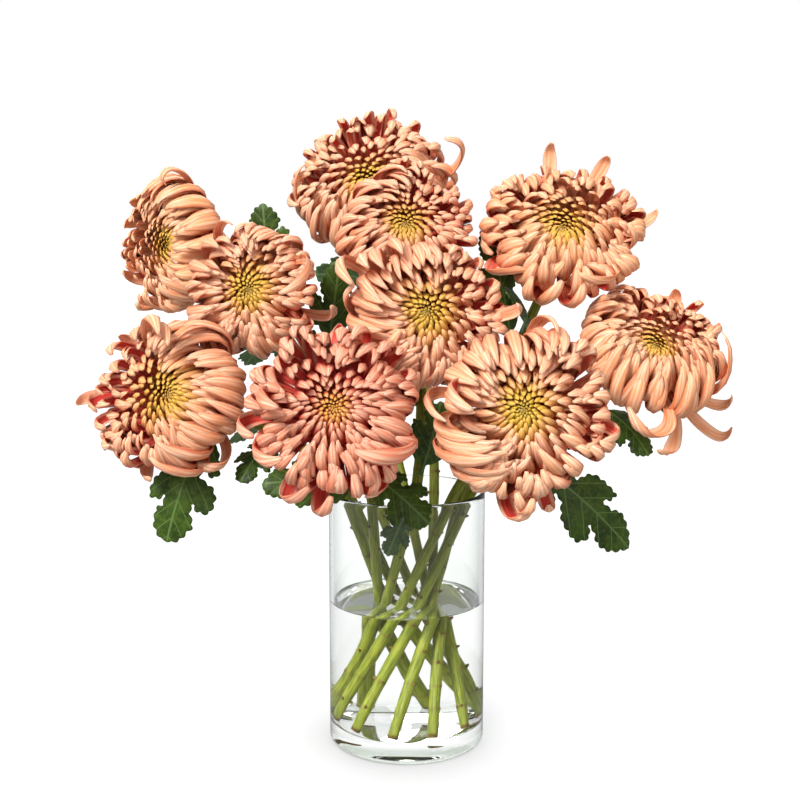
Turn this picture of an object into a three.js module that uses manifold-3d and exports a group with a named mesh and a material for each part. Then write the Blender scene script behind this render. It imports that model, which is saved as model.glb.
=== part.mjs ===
// A bouquet of ten vienna copper chrysanthemums standing in a clear glass cylinder of water.
// Units are millimetres and +Z is up. The origin is the centre of the vase's foot, on the
// surface it stands on, and the side the bouquet shows is -Y.

import * as THREE from "three";
import { mergeVertices } from "three/addons/utils/BufferGeometryUtils.js";
import Module from "manifold-3d";

// Driving dimensions of the vase and the water, and the gap between pieces that touch
const VASE = { radius: 50, height: 164, wall: 2.7, base: 13, footRound: 4, rimRound: 1, sides: 32 };
const WATER_LEVEL = 92;
const CLEARANCE = 0.3;

// Driving dimensions of a stem: it is straight in the vase and bends above the rim
const STEM = {
  radius: 4, sides: 6, straightTo: 162, footCircle: 38, bends: 6, leave: 0.42, arrive: 0.28,
};
const CALYX = [[0.35, 5.5], [0.75, 10.5], [1, 11.5]];
const CALYX_HEIGHT = 9;

// Driving dimensions of a flower head of full radius; each head is scaled from it. Petals
// stand in three shells: each leaves the core, runs out, and curls back in over the next shell
const HEAD = { radius: 54.5, seat: 18 };
const OUTER = {
  count: 10, root: 22, rootZ: -11, start: 88, turn: 176, length: 74, width: 22, thickness: 2.4,
  stations: [0, 0.3, 0.5, 0.7, 1],
};
const MIDDLE = {
  count: 9, root: 20, rootZ: -6, start: 80, turn: 172, length: 39, width: 18, thickness: 2.2,
  stations: [0, 0.45, 0.7, 1],
};
const INNER = {
  count: 8, root: 12, rootZ: -1, start: 48, turn: 125, length: 21, width: 11, thickness: 2,
  stations: [0, 0.45, 0.7, 1],
};
const STRAY = { root: 12, rootZ: -14.8, width: 10, thickness: 2, stations: [0, 0.4, 0.65, 0.85, 1] };
const SHELL_OFFSETS = [0, 16, 5];
const PETAL_LINE = { steps: 60, turnFrom: 0.12, turnTo: 0.95 };
const PETAL_SPREAD = { root: 0.5, broadest: 0.55, blunt: 0.55 };
const CORE_PROFILE = [[0, -18], [13, -18], [27, -8], [10, 1.5], [0, 1.5]];
const CORE_SIDES = 11;
const HEART = {
  seat: 1.8, radius: 9.5, foot: 0.85, valley: 0.92, tips: 7, layers: 3, narrows: 0.75, height: 4,
  sinks: 0.25, relief: 2.6,
};

// Driving dimensions of a leaf. Its half outline is in shares of the length and the half width
const LEAF = { stand: 0.9, thickness: 0.9, petiole: 0.16, petioleHalf: 1.2, fold: 0.25, arch: 0.12 };
const LEAF_RIB = [0, 0.16, 0.42, 0.68, 1];
const LEAF_OUTLINE = [
  [0.22, 0.5], [0.4, 0.8], [0.42, 0.4], [0.55, 0.85], [0.68, 1], [0.67, 0.45], [0.78, 0.6], [0.87, 0.6],
  [0.88, 0.3],
];

// Each head: its centre, the way it faces (degrees round from +X, then up), its radius, the
// stem that carries it (foot angle, then rim radius and angle), and its stray outer petals
// (angle round the head, start angle, turn and length)
const FLOWERS = [
  { centre: [-155, 53, 319], facing: [225, 2], radius: 48, foot: 4, rim: [40, 130], strays: [] },
  {
    centre: [-97, -8, 291], facing: [262, 14], radius: 44, foot: 42, rim: [40, 166],
    strays: [[345, 98, 70, 52]],
  },
  {
    centre: [-140, -48, 231], facing: [248, 18], radius: 49, foot: 76, rim: [41, 202],
    strays: [[192, 97, 20, 55], [238, 108, 130, 66], [302, 112, 190, 82]],
  },
  {
    centre: [-41, -95, 229], facing: [268, 22], radius: 51, foot: 113, rim: [40, 238],
    strays: [[221, 105, 95, 62], [254, 112, 70, 66], [280, 112, 70, 60]],
  },
  {
    centre: [-25, 84, 359], facing: [262, 32], radius: 54, foot: 330, rim: [39, 94],
    strays: [[15, 98, 195, 96], [200, 98, 150, 76]],
  },
  { centre: [-1, 10, 330], facing: [272, 30], radius: 44, foot: 293, rim: [37, 60], strays: [] },
  {
    centre: [11, -40, 279], facing: [276, 20], radius: 49, foot: 148, rim: [38, 275],
    strays: [[342, 97, 60, 62]],
  },
  {
    centre: [64, -100, 229], facing: [268, 20], radius: 52, foot: 184, rim: [41, 310],
    strays: [[244, 116, 95, 66], [276, 118, 95, 66]],
  },
  {
    centre: [98, 13, 327], facing: [274, 38], radius: 54, foot: 257, rim: [40, 22],
    strays: [[60, 97, 40, 60], [104, 97, 40, 60], [352, 112, 150, 72], [200, 110, 150, 72]],
  },
  {
    centre: [152, -18, 255], facing: [288, 42], radius: 49, foot: 219, rim: [41, 347],
    strays: [[236, 122, 170, 84], [268, 128, 60, 76], [300, 124, 110, 84], [330, 112, 150, 70]],
  },
];

// Each leaf: the stem that it grows on, how far up the bent part of that stem, where its tip
// lies, the way its upper face looks (degrees round from +X, then up), and its half width
const LEAVES = [
  { stem: 1, along: 0.6, tip: [-96, 60, 346], face: [265, 10], half: 16 },
  { stem: 2, along: 0.6, tip: [-152, 8, 266], face: [250, 60], half: 13 },
  { stem: 1, along: 0.3, tip: [-43, 20, 309], face: [275, 10], half: 16 },
  { stem: 7, along: 0.45, tip: [-36, -15, 270], face: [265, 20], half: 13 },
  { stem: 9, along: 0.48, tip: [49, 34, 331], face: [290, 0], half: 12 },
  { stem: 9, along: 0.57, tip: [62, -8, 290], face: [300, 40], half: 13 },
  { stem: 3, along: 0.8, tip: [-148, -35, 138], face: [258, 10], half: 21 },
  { stem: 3, along: 0.45, tip: [-100, -50, 179], face: [260, 45], half: 12 },
  { stem: 4, along: 0.15, tip: [-86, -60, 180], face: [262, 30], half: 15 },
  { stem: 4, along: 0.3, tip: [13, -62, 156], face: [275, 25], half: 15 },
  { stem: 7, along: 0.02, tip: [-12, -41, 131], face: [262, 10], half: 9 },
  { stem: 7, along: 0.15, tip: [20, -52, 228], face: [275, 0], half: 13 },
  { stem: 8, along: 0.6, tip: [134, -50, 138], face: [285, 20], half: 20 },
  { stem: 10, along: 0.5, tip: [116, -32, 192], face: [280, 45], half: 14 },
  { stem: 10, along: 0.67, tip: [150, -22, 190], face: [290, 45], half: 14 },
  { stem: 10, along: 0.3, tip: [98, -36, 224], face: [280, 30], half: 14 },
  { stem: 5, along: 0.6, tip: [-66, 138, 296], face: [100, 30], half: 17 },
  { stem: 6, along: 0.5, tip: [44, 116, 272], face: [80, 35], half: 17 },
  { stem: 9, along: 0.45, tip: [116, 100, 222], face: [60, 40], half: 18 },
  { stem: 1, along: 0.45, tip: [-116, 112, 232], face: [120, 40], half: 18 },
  { stem: 2, along: 0.3, tip: [-118, 48, 186], face: [140, 50], half: 18 },
  { stem: 5, along: 0.2, tip: [-30, 112, 178], face: [95, 50], half: 17 },
];

const wasm = await Module();
wasm.setup();

const group = new THREE.Group();

// Small helpers
function radians(degrees) {
  return THREE.MathUtils.degToRad(degrees);
}

function vector([x, y, z]) {
  return new THREE.Vector3(x, y, z);
}

// The direction that lies so many degrees round from +X and so many up from level
function lookOut([around, up]) {
  return onCircle(Math.cos(radians(up)), around, Math.sin(radians(up)));
}

function onCircle(radius, angle, z) {
  return new THREE.Vector3(radius * Math.cos(radians(angle)), radius * Math.sin(radians(angle)), z);
}

function signedVolume(points, faces) {
  let volume = 0;
  for (const [a, b, c] of faces) {
    volume += points[a].dot(points[b].clone().cross(points[c])) / 6;
  }
  return volume;
}

// A closed geometry from points and triangles, turned so that its faces point out
function closedGeometry(points, faces) {
  const outward = signedVolume(points, faces) > 0;
  const index = faces.flatMap(([a, b, c]) => (outward ? [a, b, c] : [a, c, b]));
  const places = points.flatMap((p) => p.toArray());
  const geometry = new THREE.BufferGeometry();
  geometry.setAttribute("position", new THREE.Float32BufferAttribute(places, 3));
  geometry.setIndex(index);
  return geometry;
}

// A closed solid through a row of rings that all have the same number of points
function loft(rings) {
  const sides = rings[0].length;
  const points = rings.flat();
  const faces = [];
  for (let i = 0; i + 1 < rings.length; i += 1) {
    for (let j = 0; j < sides; j += 1) {
      const a = i * sides + j;
      const b = i * sides + ((j + 1) % sides);
      faces.push([a, b, b + sides], [a, b + sides, a + sides]);
    }
  }
  const last = (rings.length - 1) * sides;
  for (let j = 1; j + 1 < sides; j += 1) {
    faces.push([0, j + 1, j], [last, last + j, last + j + 1]);
  }
  return closedGeometry(points, faces);
}

function toSolid(geometry) {
  const bare = geometry.clone();
  bare.deleteAttribute("normal");
  bare.deleteAttribute("uv");
  const merged = mergeVertices(bare, 1e-4);
  const mesh = new wasm.Mesh({
    numProp: 3,
    vertProperties: new Float32Array(merged.attributes.position.array),
    triVerts: new Uint32Array(merged.index.array),
  });
  return new wasm.Manifold(mesh);
}

function toGeometry(solid) {
  const { vertProperties, triVerts } = solid.getMesh();
  const geometry = new THREE.BufferGeometry();
  geometry.setAttribute("position", new THREE.BufferAttribute(new Float32Array(vertProperties), 3));
  geometry.setIndex(new THREE.BufferAttribute(new Uint32Array(triVerts), 1));
  return geometry;
}

function fuse(geometries) {
  return toGeometry(geometries.map(toSolid).reduce((whole, piece) => whole.add(piece)));
}

// A solid of revolution round +Z from points given as radius and height
function lathe(profile, sides) {
  const points = profile.map(([x, y]) => new THREE.Vector2(x, y));
  return new THREE.LatheGeometry(points, sides).rotateX(Math.PI / 2);
}

function addPiece(name, geometry, material) {
  const mesh = new THREE.Mesh(geometry, material);
  mesh.name = name;
  group.add(mesh);
  return mesh;
}

// Materials
function copperPetal() {
  return new THREE.MeshStandardMaterial({ color: 0xe8a27f, roughness: 0.6, metalness: 0 });
}

function goldenHeart() {
  return new THREE.MeshStandardMaterial({ color: 0xd6ae3c, roughness: 0.65, metalness: 0 });
}

function greenStem() {
  return new THREE.MeshStandardMaterial({ color: 0x7c8f35, roughness: 0.5, metalness: 0 });
}

function leafGreen() {
  return new THREE.MeshStandardMaterial({ color: 0x35522a, roughness: 0.6, metalness: 0 });
}

function clear(color) {
  const look = { color, roughness: 0.05, metalness: 0, transparent: true, opacity: 0.3 };
  return new THREE.MeshStandardMaterial(look);
}

function clearGlass() {
  return clear(0xe6eeee);
}

function clearWater() {
  return clear(0xdbe8ea);
}

// The vase: a straight cylinder with a thick base
function vaseGeometry() {
  const { radius, height, wall, base, footRound, rimRound, sides } = VASE;
  const inner = radius - wall;
  const bevel = footRound * (1 - Math.SQRT1_2);
  const profile = [
    [0, 0], [radius - footRound, 0], [radius - bevel, bevel], [radius, footRound],
    [radius, height - rimRound], [radius - rimRound, height], [inner, height - rimRound],
    [inner, base], [0, base],
  ];
  return toGeometry(toSolid(lathe(profile, sides)));
}

// The frame of a head: its local +Z is the way it faces, and its local +Y is as upright as can be
function headMatrix(flower) {
  const z = lookOut(flower.facing);
  const y = new THREE.Vector3(0, 0, 1).addScaledVector(z, -z.z).normalize();
  const x = new THREE.Vector3().crossVectors(y, z);
  const matrix = new THREE.Matrix4().makeBasis(x, y, z);
  return matrix.setPosition(vector(flower.centre));
}

function headScale(flower) {
  return flower.radius / HEAD.radius;
}

// The centreline of a petal in its own radial plane: it runs out, turns over and runs back in
function petalLine({ root, rootZ, start, turn, length, stations }) {
  const { steps, turnFrom, turnTo } = PETAL_LINE;
  const line = [];
  let r = root;
  let z = rootZ;
  for (let i = 0; i <= steps; i += 1) {
    const s = i / steps;
    const heading = radians(start - turn * THREE.MathUtils.smoothstep(s, turnFrom, turnTo));
    line.push({ r, z, heading, s });
    r += (Math.sin(heading) * length) / steps;
    z += (Math.cos(heading) * length) / steps;
  }
  return stations.map((s) => line[Math.round(s * steps)]);
}

// The share of a petal's full width at s along it: a narrow root, a broad back, a blunt tip
function petalSpread(s) {
  const { root, broadest, blunt } = PETAL_SPREAD;
  const past = (s - broadest) / (1 - broadest);
  return s < broadest ? root + ((1 - root) * s) / broadest : 1 - (1 - blunt) * past ** 2;
}

// One petal: a three-sided blade, flat inside and keeled outside
function petal(shape, angle) {
  const out = onCircle(1, angle, 0);
  const across = onCircle(1, angle + 90, 0);
  const rings = petalLine(shape).map(({ r, z, heading, s }) => {
    const centre = out.clone().multiplyScalar(r).setZ(z);
    const inward = out.clone().multiplyScalar(-Math.cos(heading)).setZ(Math.sin(heading));
    const half = (shape.width * petalSpread(s)) / 2;
    const edge = centre.clone().addScaledVector(inward, shape.thickness * 0.5);
    return [
      edge.clone().addScaledVector(across, half),
      edge.clone().addScaledVector(across, -half),
      centre.clone().addScaledVector(inward, shape.thickness * -0.5),
    ];
  });
  return loft(rings);
}

function petalRing(shape, offset) {
  return Array.from({ length: shape.count }, (_, i) => petal(shape, offset + (360 * i) / shape.count));
}

function headCore() {
  return lathe(CORE_PROFILE, CORE_SIDES);
}

function strayPetals(flower) {
  return flower.strays.map(([angle, start, turn, length]) => (
    petal({ ...STRAY, start, turn, length: length / headScale(flower) }, angle)
  ));
}

function headGeometry(flower) {
  const pieces = [
    ...strayPetals(flower),
    headCore(),
    ...[OUTER, MIDDLE, INNER].flatMap((shape, i) => petalRing(shape, SHELL_OFFSETS[i])),
  ];
  const scale = headScale(flower);
  return fuse(pieces).scale(scale, scale, scale).applyMatrix4(headMatrix(flower));
}

// The golden heart: layers of pointed florets raised from a low dome
function heartGeometry(flower) {
  const { seat, radius, foot, valley, tips, layers, narrows, height, sinks, relief } = HEART;
  const sides = 2 * tips;
  const ring = (place) => Array.from({ length: sides }, (_, j) => place(j, (360 * j) / sides));
  const rings = [ring((j, angle) => onCircle(radius * foot, angle, seat))];
  for (let layer = 0; layer < layers; layer += 1) {
    const reach = radius * (1 - (narrows * layer) / (layers - 1));
    const level = seat + height * (1 - sinks * layer);
    rings.push(ring((j, angle) => {
      const isTip = (j + layer) % 2 === 0;
      return isTip ? onCircle(reach, angle, level + relief) : onCircle(reach * valley, angle, level);
    }));
  }
  const scale = headScale(flower);
  return loft(rings).scale(scale, scale, scale).applyMatrix4(headMatrix(flower));
}

// The straight foot and the bend of a stem, up to the neck of its calyx
function stemRoute(flower) {
  const { footCircle, straightTo } = STEM;
  const matrix = headMatrix(flower);
  const facing = new THREE.Vector3().setFromMatrixColumn(matrix, 2);
  const scale = headScale(flower);
  const foot = onCircle(footCircle, flower.foot, VASE.base + CLEARANCE);
  const rim = onCircle(flower.rim[0], flower.rim[1], straightTo);
  const rise = rim.clone().sub(foot).normalize();
  const seat = vector(flower.centre).addScaledVector(facing, -HEAD.seat * scale - CLEARANCE);
  const neck = seat.clone().addScaledVector(facing, -CALYX_HEIGHT * scale);
  const reach = neck.distanceTo(rim);
  const leaving = rim.clone().addScaledVector(rise, reach * STEM.leave);
  const arriving = neck.clone().addScaledVector(facing, -reach * STEM.arrive);
  const bend = new THREE.CubicBezierCurve3(rim, leaving, arriving, neck);
  return { foot, rise, bend, neck, facing, scale };
}

// A ring round a point, square to a direction, with its first corner as close to +X as can be
function ringAcross(centre, direction, radius, sides = STEM.sides) {
  const first = new THREE.Vector3(1, 0, 0).addScaledVector(direction, -direction.x).normalize();
  const second = new THREE.Vector3().crossVectors(direction, first);
  return Array.from({ length: sides }, (_, j) => {
    const { x, y } = onCircle(radius, (360 * j) / sides, 0);
    return centre.clone().addScaledVector(first, x).addScaledVector(second, y);
  });
}

// A straight tube cut level at its lower end, as a stem stands on the vase's floor
function levelRing(centre, direction, radius) {
  return ringAcross(centre, direction, radius).map((p) => (
    p.addScaledVector(direction, (centre.z - p.z) / direction.z)
  ));
}

// A stem with the calyx that closes under its head
function stemGeometry(flower) {
  const { foot, rise, bend, neck, facing, scale } = stemRoute(flower);
  const rings = [levelRing(foot, rise, STEM.radius)];
  for (let i = 0; i <= STEM.bends; i += 1) {
    const t = i / STEM.bends;
    rings.push(ringAcross(bend.getPoint(t), bend.getTangent(t), STEM.radius));
  }
  for (const [share, radius] of CALYX) {
    const centre = neck.clone().addScaledVector(facing, CALYX_HEIGHT * scale * share);
    rings.push(ringAcross(centre, facing, radius * scale));
  }
  return loft(rings);
}

// The water, with a plain hole for every stem
function waterGeometry() {
  const floor = VASE.base + CLEARANCE;
  const radius = VASE.radius - VASE.wall - CLEARANCE;
  const body = new THREE.CylinderGeometry(radius, radius, WATER_LEVEL - floor, VASE.sides);
  body.rotateX(Math.PI / 2).translate(0, 0, (WATER_LEVEL + floor) / 2);
  const past = VASE.radius;
  const hole = STEM.radius + CLEARANCE / Math.cos(Math.PI / STEM.sides);
  const water = FLOWERS.reduce((left, flower) => {
    const { foot, rise } = stemRoute(flower);
    const below = foot.clone().addScaledVector(rise, -past);
    const above = foot.clone().addScaledVector(rise, (WATER_LEVEL - floor) / rise.z + past);
    return left.subtract(toSolid(loft([ringAcross(below, rise, hole), ringAcross(above, rise, hole)])));
  }, toSolid(body));
  return toGeometry(water);
}

// One half of a leaf as flat points: down the rib, then back along the lobed edge
function halfOutline(length, half) {
  const rib = LEAF_RIB.map((share) => new THREE.Vector2(share * length, 0));
  const edge = [
    [0, LEAF.petioleHalf], [LEAF.petiole * length, LEAF.petioleHalf],
    ...LEAF_OUTLINE.map(([along, out]) => [along * length, out * half]),
  ];
  return { rib, edge: edge.map(([x, y]) => new THREE.Vector2(x, y)) };
}

// How far a stem's faceted surface lies from its axis, looking out from the axis along away
function stemReach(direction, away) {
  const [corner] = ringAcross(new THREE.Vector3(), direction, 1);
  const facet = (2 * Math.PI) / STEM.sides;
  const fromMiddle = (corner.angleTo(away) % facet) - facet / 2;
  return (STEM.radius * Math.cos(facet / 2)) / Math.cos(fromMiddle);
}

// A leaf: one thin arched blade folded along its rib, cut into lobes, on a short petiole
function leafGeometry(leaf) {
  const flower = FLOWERS[leaf.stem - 1];
  const { bend } = stemRoute(flower);
  const on = bend.getPoint(leaf.along);
  const tip = vector(leaf.tip);
  const tangent = bend.getTangent(leaf.along);
  const toTip = tip.clone().sub(on);
  const away = toTip.addScaledVector(tangent, -toTip.dot(tangent)).normalize();
  const root = on.clone().addScaledVector(away, stemReach(tangent, away) + LEAF.stand);
  const look = lookOut(leaf.face);
  const length = root.distanceTo(tip);
  const chord = tip.clone().sub(root).normalize();
  const face = look.clone().addScaledVector(chord, -look.dot(chord)).normalize();
  const side = new THREE.Vector3().crossVectors(face, chord);
  const arch = (share) => 4 * share * (1 - share) * LEAF.arch * length;
  const lift = ({ x, y }, sign) => root.clone().addScaledVector(chord, x)
    .addScaledVector(side, y * sign)
    .addScaledVector(face, arch(x / length) - LEAF.fold * y);
  const { rib, edge } = halfOutline(length, leaf.half);
  const half = [...rib, ...edge.toReversed()];
  const cut = THREE.ShapeUtils.triangulateShape(half, []);
  const ribCount = rib.length;
  const left = half.map((p) => lift(p, 1));
  const right = edge.toReversed().map((p) => lift(p, -1));
  const middle = [...left, ...right];
  const mirror = (i) => (i < ribCount ? i : i + edge.length);
  const faces = [...cut, ...cut.map(([a, b, c]) => [mirror(a), mirror(c), mirror(b)])];
  return thicken(middle, faces, face, LEAF.thickness);
}

// A closed plate from a triangulated sheet, split alike on both of its faces
function thicken(points, faces, normal, thickness) {
  const count = points.length;
  const top = points.map((p) => p.clone().addScaledVector(normal, thickness / 2));
  const bottom = points.map((p) => p.clone().addScaledVector(normal, -thickness / 2));
  const edges = new Set(faces.flatMap(([a, b, c]) => [`${a},${b}`, `${b},${c}`, `${c},${a}`]));
  const ends = [...edges].map((edge) => edge.split(",").map(Number));
  const rim = ends.filter(([a, b]) => !edges.has(`${b},${a}`));
  return closedGeometry([...top, ...bottom], [
    ...faces,
    ...faces.map(([a, b, c]) => [a + count, c + count, b + count]),
    ...rim.flatMap(([a, b]) => [[a, a + count, b + count], [a, b + count, b]]),
  ]);
}

for (const [i, flower] of FLOWERS.entries()) {
  const number = String(i + 1).padStart(2, "0");
  addPiece(`bloom_${number}`, headGeometry(flower), copperPetal());
  addPiece(`heart_${number}`, heartGeometry(flower), goldenHeart());
  addPiece(`stem_${number}`, stemGeometry(flower), greenStem());
}
for (const [i, leaf] of LEAVES.entries()) {
  addPiece(`leaf_${String(i + 1).padStart(2, "0")}`, leafGeometry(leaf), leafGreen());
}
addPiece("vase", vaseGeometry(), clearGlass());
addPiece("water", waterGeometry(), clearWater());

export default group;
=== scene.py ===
import math

import bpy
import numpy as np
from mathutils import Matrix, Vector
from mathutils.geometry import delaunay_2d_cdt


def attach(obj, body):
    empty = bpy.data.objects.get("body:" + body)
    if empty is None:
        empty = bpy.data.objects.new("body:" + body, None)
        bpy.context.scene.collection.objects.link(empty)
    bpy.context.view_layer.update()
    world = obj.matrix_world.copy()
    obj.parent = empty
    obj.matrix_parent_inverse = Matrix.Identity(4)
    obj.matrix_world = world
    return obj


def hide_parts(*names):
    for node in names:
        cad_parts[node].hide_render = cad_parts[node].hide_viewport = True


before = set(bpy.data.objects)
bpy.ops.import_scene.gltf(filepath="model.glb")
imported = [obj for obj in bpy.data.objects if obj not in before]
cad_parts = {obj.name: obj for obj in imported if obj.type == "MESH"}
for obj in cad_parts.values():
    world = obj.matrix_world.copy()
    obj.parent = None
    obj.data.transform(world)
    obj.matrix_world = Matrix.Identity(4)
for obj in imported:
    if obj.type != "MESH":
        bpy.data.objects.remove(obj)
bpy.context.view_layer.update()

# A bouquet of ten chrysanthemums in a glass cylinder of water. Shapes are worked out in millimetres,
# with +Z up, the middle of the vase's foot at the origin and the side that it shows towards -Y

MM = 0.001
GOLDEN_ANGLE = 137.508

# Driving dimensions, as in the solids. A stem's skin lies a little inside its solid
VASE = dict(radius=50, height=164, wall=2.7, base=13)
WATER_LEVEL = 92
CLEARANCE = 0.3
STEM = dict(skin=3.15, straight_to=162, foot_circle=38, leave=0.42, arrive=0.28)
CALYX_HEIGHT = 9
HEAD_RADIUS = 54.5
HEAD_SEAT = 18
LEAF = dict(petiole=0.16, petiole_half=1.2, fold=0.25, arch=0.12)

# Each head: its centre, facing (degrees round from +X, then up) and radius; the angle of its stem's
# foot, and where the stem passes the rim (radius, angle); the side that is combed over the heart and
# the side that opens (angle round the head, half width); the age from which petals open, how long
# their claws are and whether they stand, 1, or lie, 0; how broad petals are and how combed ones
# lean; the share left out where open or combed and the share of wild ones; how far out the heart's
# gold goes; how red and how orange petals are; the width and redness of its stray ones
FLOWERS = [
    dict(centre=(-155, 53, 319), facing=(225, 2), radius=48, foot=4, rim=(40, 130),
         comb=(25, 80), open=(280, 20), opens=0.8, claw=22, stand=0.2,
         broad=1.38, swirl=0, sparse=0.3, loose=0.06, gold=1, red=0.05, orange=0.7, stray=(9, 0)),
    dict(centre=(-97, -8, 291), facing=(262, 14), radius=44, foot=42, rim=(40, 166),
         comb=(170, 60), open=(350, 40), opens=0.8, claw=22, stand=0.8,
         broad=1.08, swirl=0.1, sparse=0.05, loose=0.06, gold=1.2, red=0.15, orange=0.1, stray=(9, 0)),
    dict(centre=(-140, -48, 231), facing=(248, 18), radius=49, foot=76, rim=(41, 202),
         comb=(20, 80), open=(190, 80), opens=0.42, claw=22, stand=0.9,
         broad=1.05, swirl=0.5, sparse=0.08, loose=0.12, gold=1.3, red=0.25, orange=0.5,
         stray=(10, 0.2)),
    dict(centre=(-41, -95, 229), facing=(268, 22), radius=51, foot=113, rim=(40, 238),
         comb=(340, 25), open=(215, 105), opens=0.62, claw=29, stand=0.1,
         broad=1.02, swirl=-0.6, sparse=0.15, loose=0.04, gold=0.7, red=0.75, orange=0, stray=(12, 0.9)),
    dict(centre=(-25, 84, 359), facing=(262, 32), radius=54, foot=330, rim=(39, 94),
         comb=(5, 25), open=(115, 80), opens=0.45, claw=23, stand=0.6,
         broad=1.08, swirl=0.5, sparse=0.1, loose=0.06, gold=1, red=0.1, orange=0.1, stray=(9, 0.1)),
    dict(centre=(-1, 10, 330), facing=(272, 30), radius=44, foot=293, rim=(37, 60),
         comb=(165, 75), open=(20, 80), opens=0.42, claw=24, stand=0.8,
         broad=1.05, swirl=-0.5, sparse=0.1, loose=0, gold=1.1, red=0.3, orange=0.2, stray=(9, 0)),
    dict(centre=(11, -40, 279), facing=(276, 20), radius=49, foot=148, rim=(38, 275),
         comb=(145, 80), open=(10, 45), opens=0.6, claw=24, stand=0.8,
         broad=1.05, swirl=1.6, sparse=0.1, loose=0.1, gold=1.2, red=0.2, orange=0.2, stray=(10, 0.2)),
    dict(centre=(64, -100, 229), facing=(268, 20), radius=52, foot=184, rim=(41, 310),
         comb=(140, 90), open=(340, 70), opens=0.8, claw=25, stand=0.4,
         broad=1, swirl=1.5, sparse=0.15, loose=0.1, gold=1.1, red=0.05, orange=0.1, stray=(11, 0.6)),
    dict(centre=(98, 13, 327), facing=(274, 38), radius=54, foot=257, rim=(40, 22),
         comb=(200, 30), open=(60, 200), opens=0.72, claw=27, stand=0.3,
         broad=1.25, swirl=0.4, sparse=0.3, loose=0.2, gold=1.1, red=0.1, orange=0.8, stray=(11, 0)),
    dict(centre=(152, -18, 255), facing=(288, 42), radius=49, foot=219, rim=(41, 347),
         comb=(265, 65), open=(55, 50), opens=0.55, claw=25, stand=0.6,
         broad=1.2, swirl=0.4, sparse=0.3, loose=0.15, gold=0.9, red=0.15, orange=0.7, stray=(11, 0)),
]

# How a long outer petal bends: its turn, how much of it is kept for the claw at its end, and that
# claw's length
BENDS = dict(
    bent=(70, 0.4, 22), arched=(115, 0.35, 25), hooked=(110, 0.8, 20), clawed=(145, 0.65, 20),
    looped=(165, 0.15, 20), curled=(205, 0.45, 20),
)

# The long outer petals that leave each head: the angle round the head, the angle at which the petal
# starts, its bend, its length and how far it drifts round the head
STRAYS = {
    1: [(80, 95, "curled", 72, 0)],
    2: [(340, 115, "arched", 62, 10), (40, 60, "arched", 84, -60)],
    3: [(175, 90, "bent", 64, 15), (140, 95, "bent", 54, 0), (130, 60, "arched", 76, -60),
        (120, 60, "arched", 68, -60), (325, 125, "curled", 64, -30), (240, 100, "hooked", 50, 0),
        (225, 120, "arched", 58, 35)],
    4: [(230, 125, "looped", 80, 25), (255, 130, "looped", 82, 15), (325, 120, "hooked", 50, -35),
        (105, 90, "bent", 42, 0), (100, 135, "bent", 60, -10), (195, 75, "arched", 74, 40),
        (170, 130, "looped", 78, 30), (160, 60, "arched", 70, 35), (350, 90, "looped", 85, -55)],
    5: [(5, 75, "arched", 100, 0), (170, 95, "arched", 68, 40), (105, 95, "bent", 56, 0),
        (65, 80, "bent", 50, 0)],
    7: [(355, 65, "bent", 70, 0), (130, 110, "looped", 94, 35), (180, 100, "arched", 58, -20)],
    8: [(225, 95, "arched", 60, 20), (250, 105, "clawed", 64, 25), (265, 85, "clawed", 68, 10),
        (285, 100, "hooked", 56, 0), (30, 115, "arched", 56, -5), (0, 90, "arched", 55, -35),
        (150, 60, "arched", 74, 45)],
    9: [(90, 95, "bent", 70, 0), (60, 80, "bent", 65, -5), (20, 110, "bent", 70, 0),
        (35, 110, "curled", 62, -45), (185, 75, "hooked", 55, 50), (145, 95, "hooked", 50, 55),
        (330, 70, "bent", 66, -60)],
    10: [(270, 75, "hooked", 94, -40), (310, 130, "hooked", 60, -45), (325, 135, "hooked", 86, 10),
         (330, 120, "hooked", 66, 10), (50, 65, "bent", 50, 10), (25, 85, "curled", 62, -30)],
}

# Each leaf: its stem, how far up the bend, its tip, the way its upper face looks, half width
LEAVES = [
    (1, 0.6, (-96, 60, 346), (265, 10), 16), (2, 0.6, (-152, 8, 266), (250, 60), 13),
    (1, 0.3, (-43, 20, 309), (275, 10), 16), (7, 0.45, (-36, -15, 270), (265, 20), 13),
    (9, 0.48, (49, 34, 331), (290, 0), 12), (9, 0.57, (62, -8, 290), (300, 40), 13),
    (3, 0.8, (-148, -35, 138), (258, 10), 21), (3, 0.45, (-100, -50, 179), (260, 45), 12),
    (4, 0.15, (-86, -60, 180), (262, 30), 15), (4, 0.3, (13, -62, 156), (275, 25), 15),
    (7, 0.02, (-12, -41, 131), (262, 10), 9), (7, 0.15, (20, -52, 228), (275, 0), 13),
    (8, 0.6, (134, -50, 138), (285, 20), 20), (10, 0.5, (116, -32, 192), (280, 45), 14),
    (10, 0.67, (150, -22, 190), (290, 45), 14), (10, 0.3, (98, -36, 224), (280, 30), 14),
    (5, 0.6, (-66, 138, 296), (100, 30), 17), (6, 0.5, (44, 116, 272), (80, 35), 17),
    (9, 0.45, (116, 100, 222), (60, 40), 18), (1, 0.45, (-116, 112, 232), (120, 40), 18),
    (2, 0.3, (-118, 48, 186), (140, 50), 18), (5, 0.2, (-30, 112, 178), (95, 50), 17),
]

# A leaf's half outline past its petiole, in shares of the length and the half width
LEAF_OUTLINE = [
    (0.17, 0.13), (0.20, 0.42), (0.27, 0.66), (0.38, 0.86), (0.44, 0.72), (0.42, 0.42), (0.47, 0.44),
    (0.53, 0.86), (0.62, 1.0), (0.71, 0.96), (0.72, 0.66), (0.68, 0.44), (0.73, 0.46), (0.80, 0.62),
    (0.88, 0.56), (0.95, 0.34), (1.0, 0.0),
]

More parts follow.
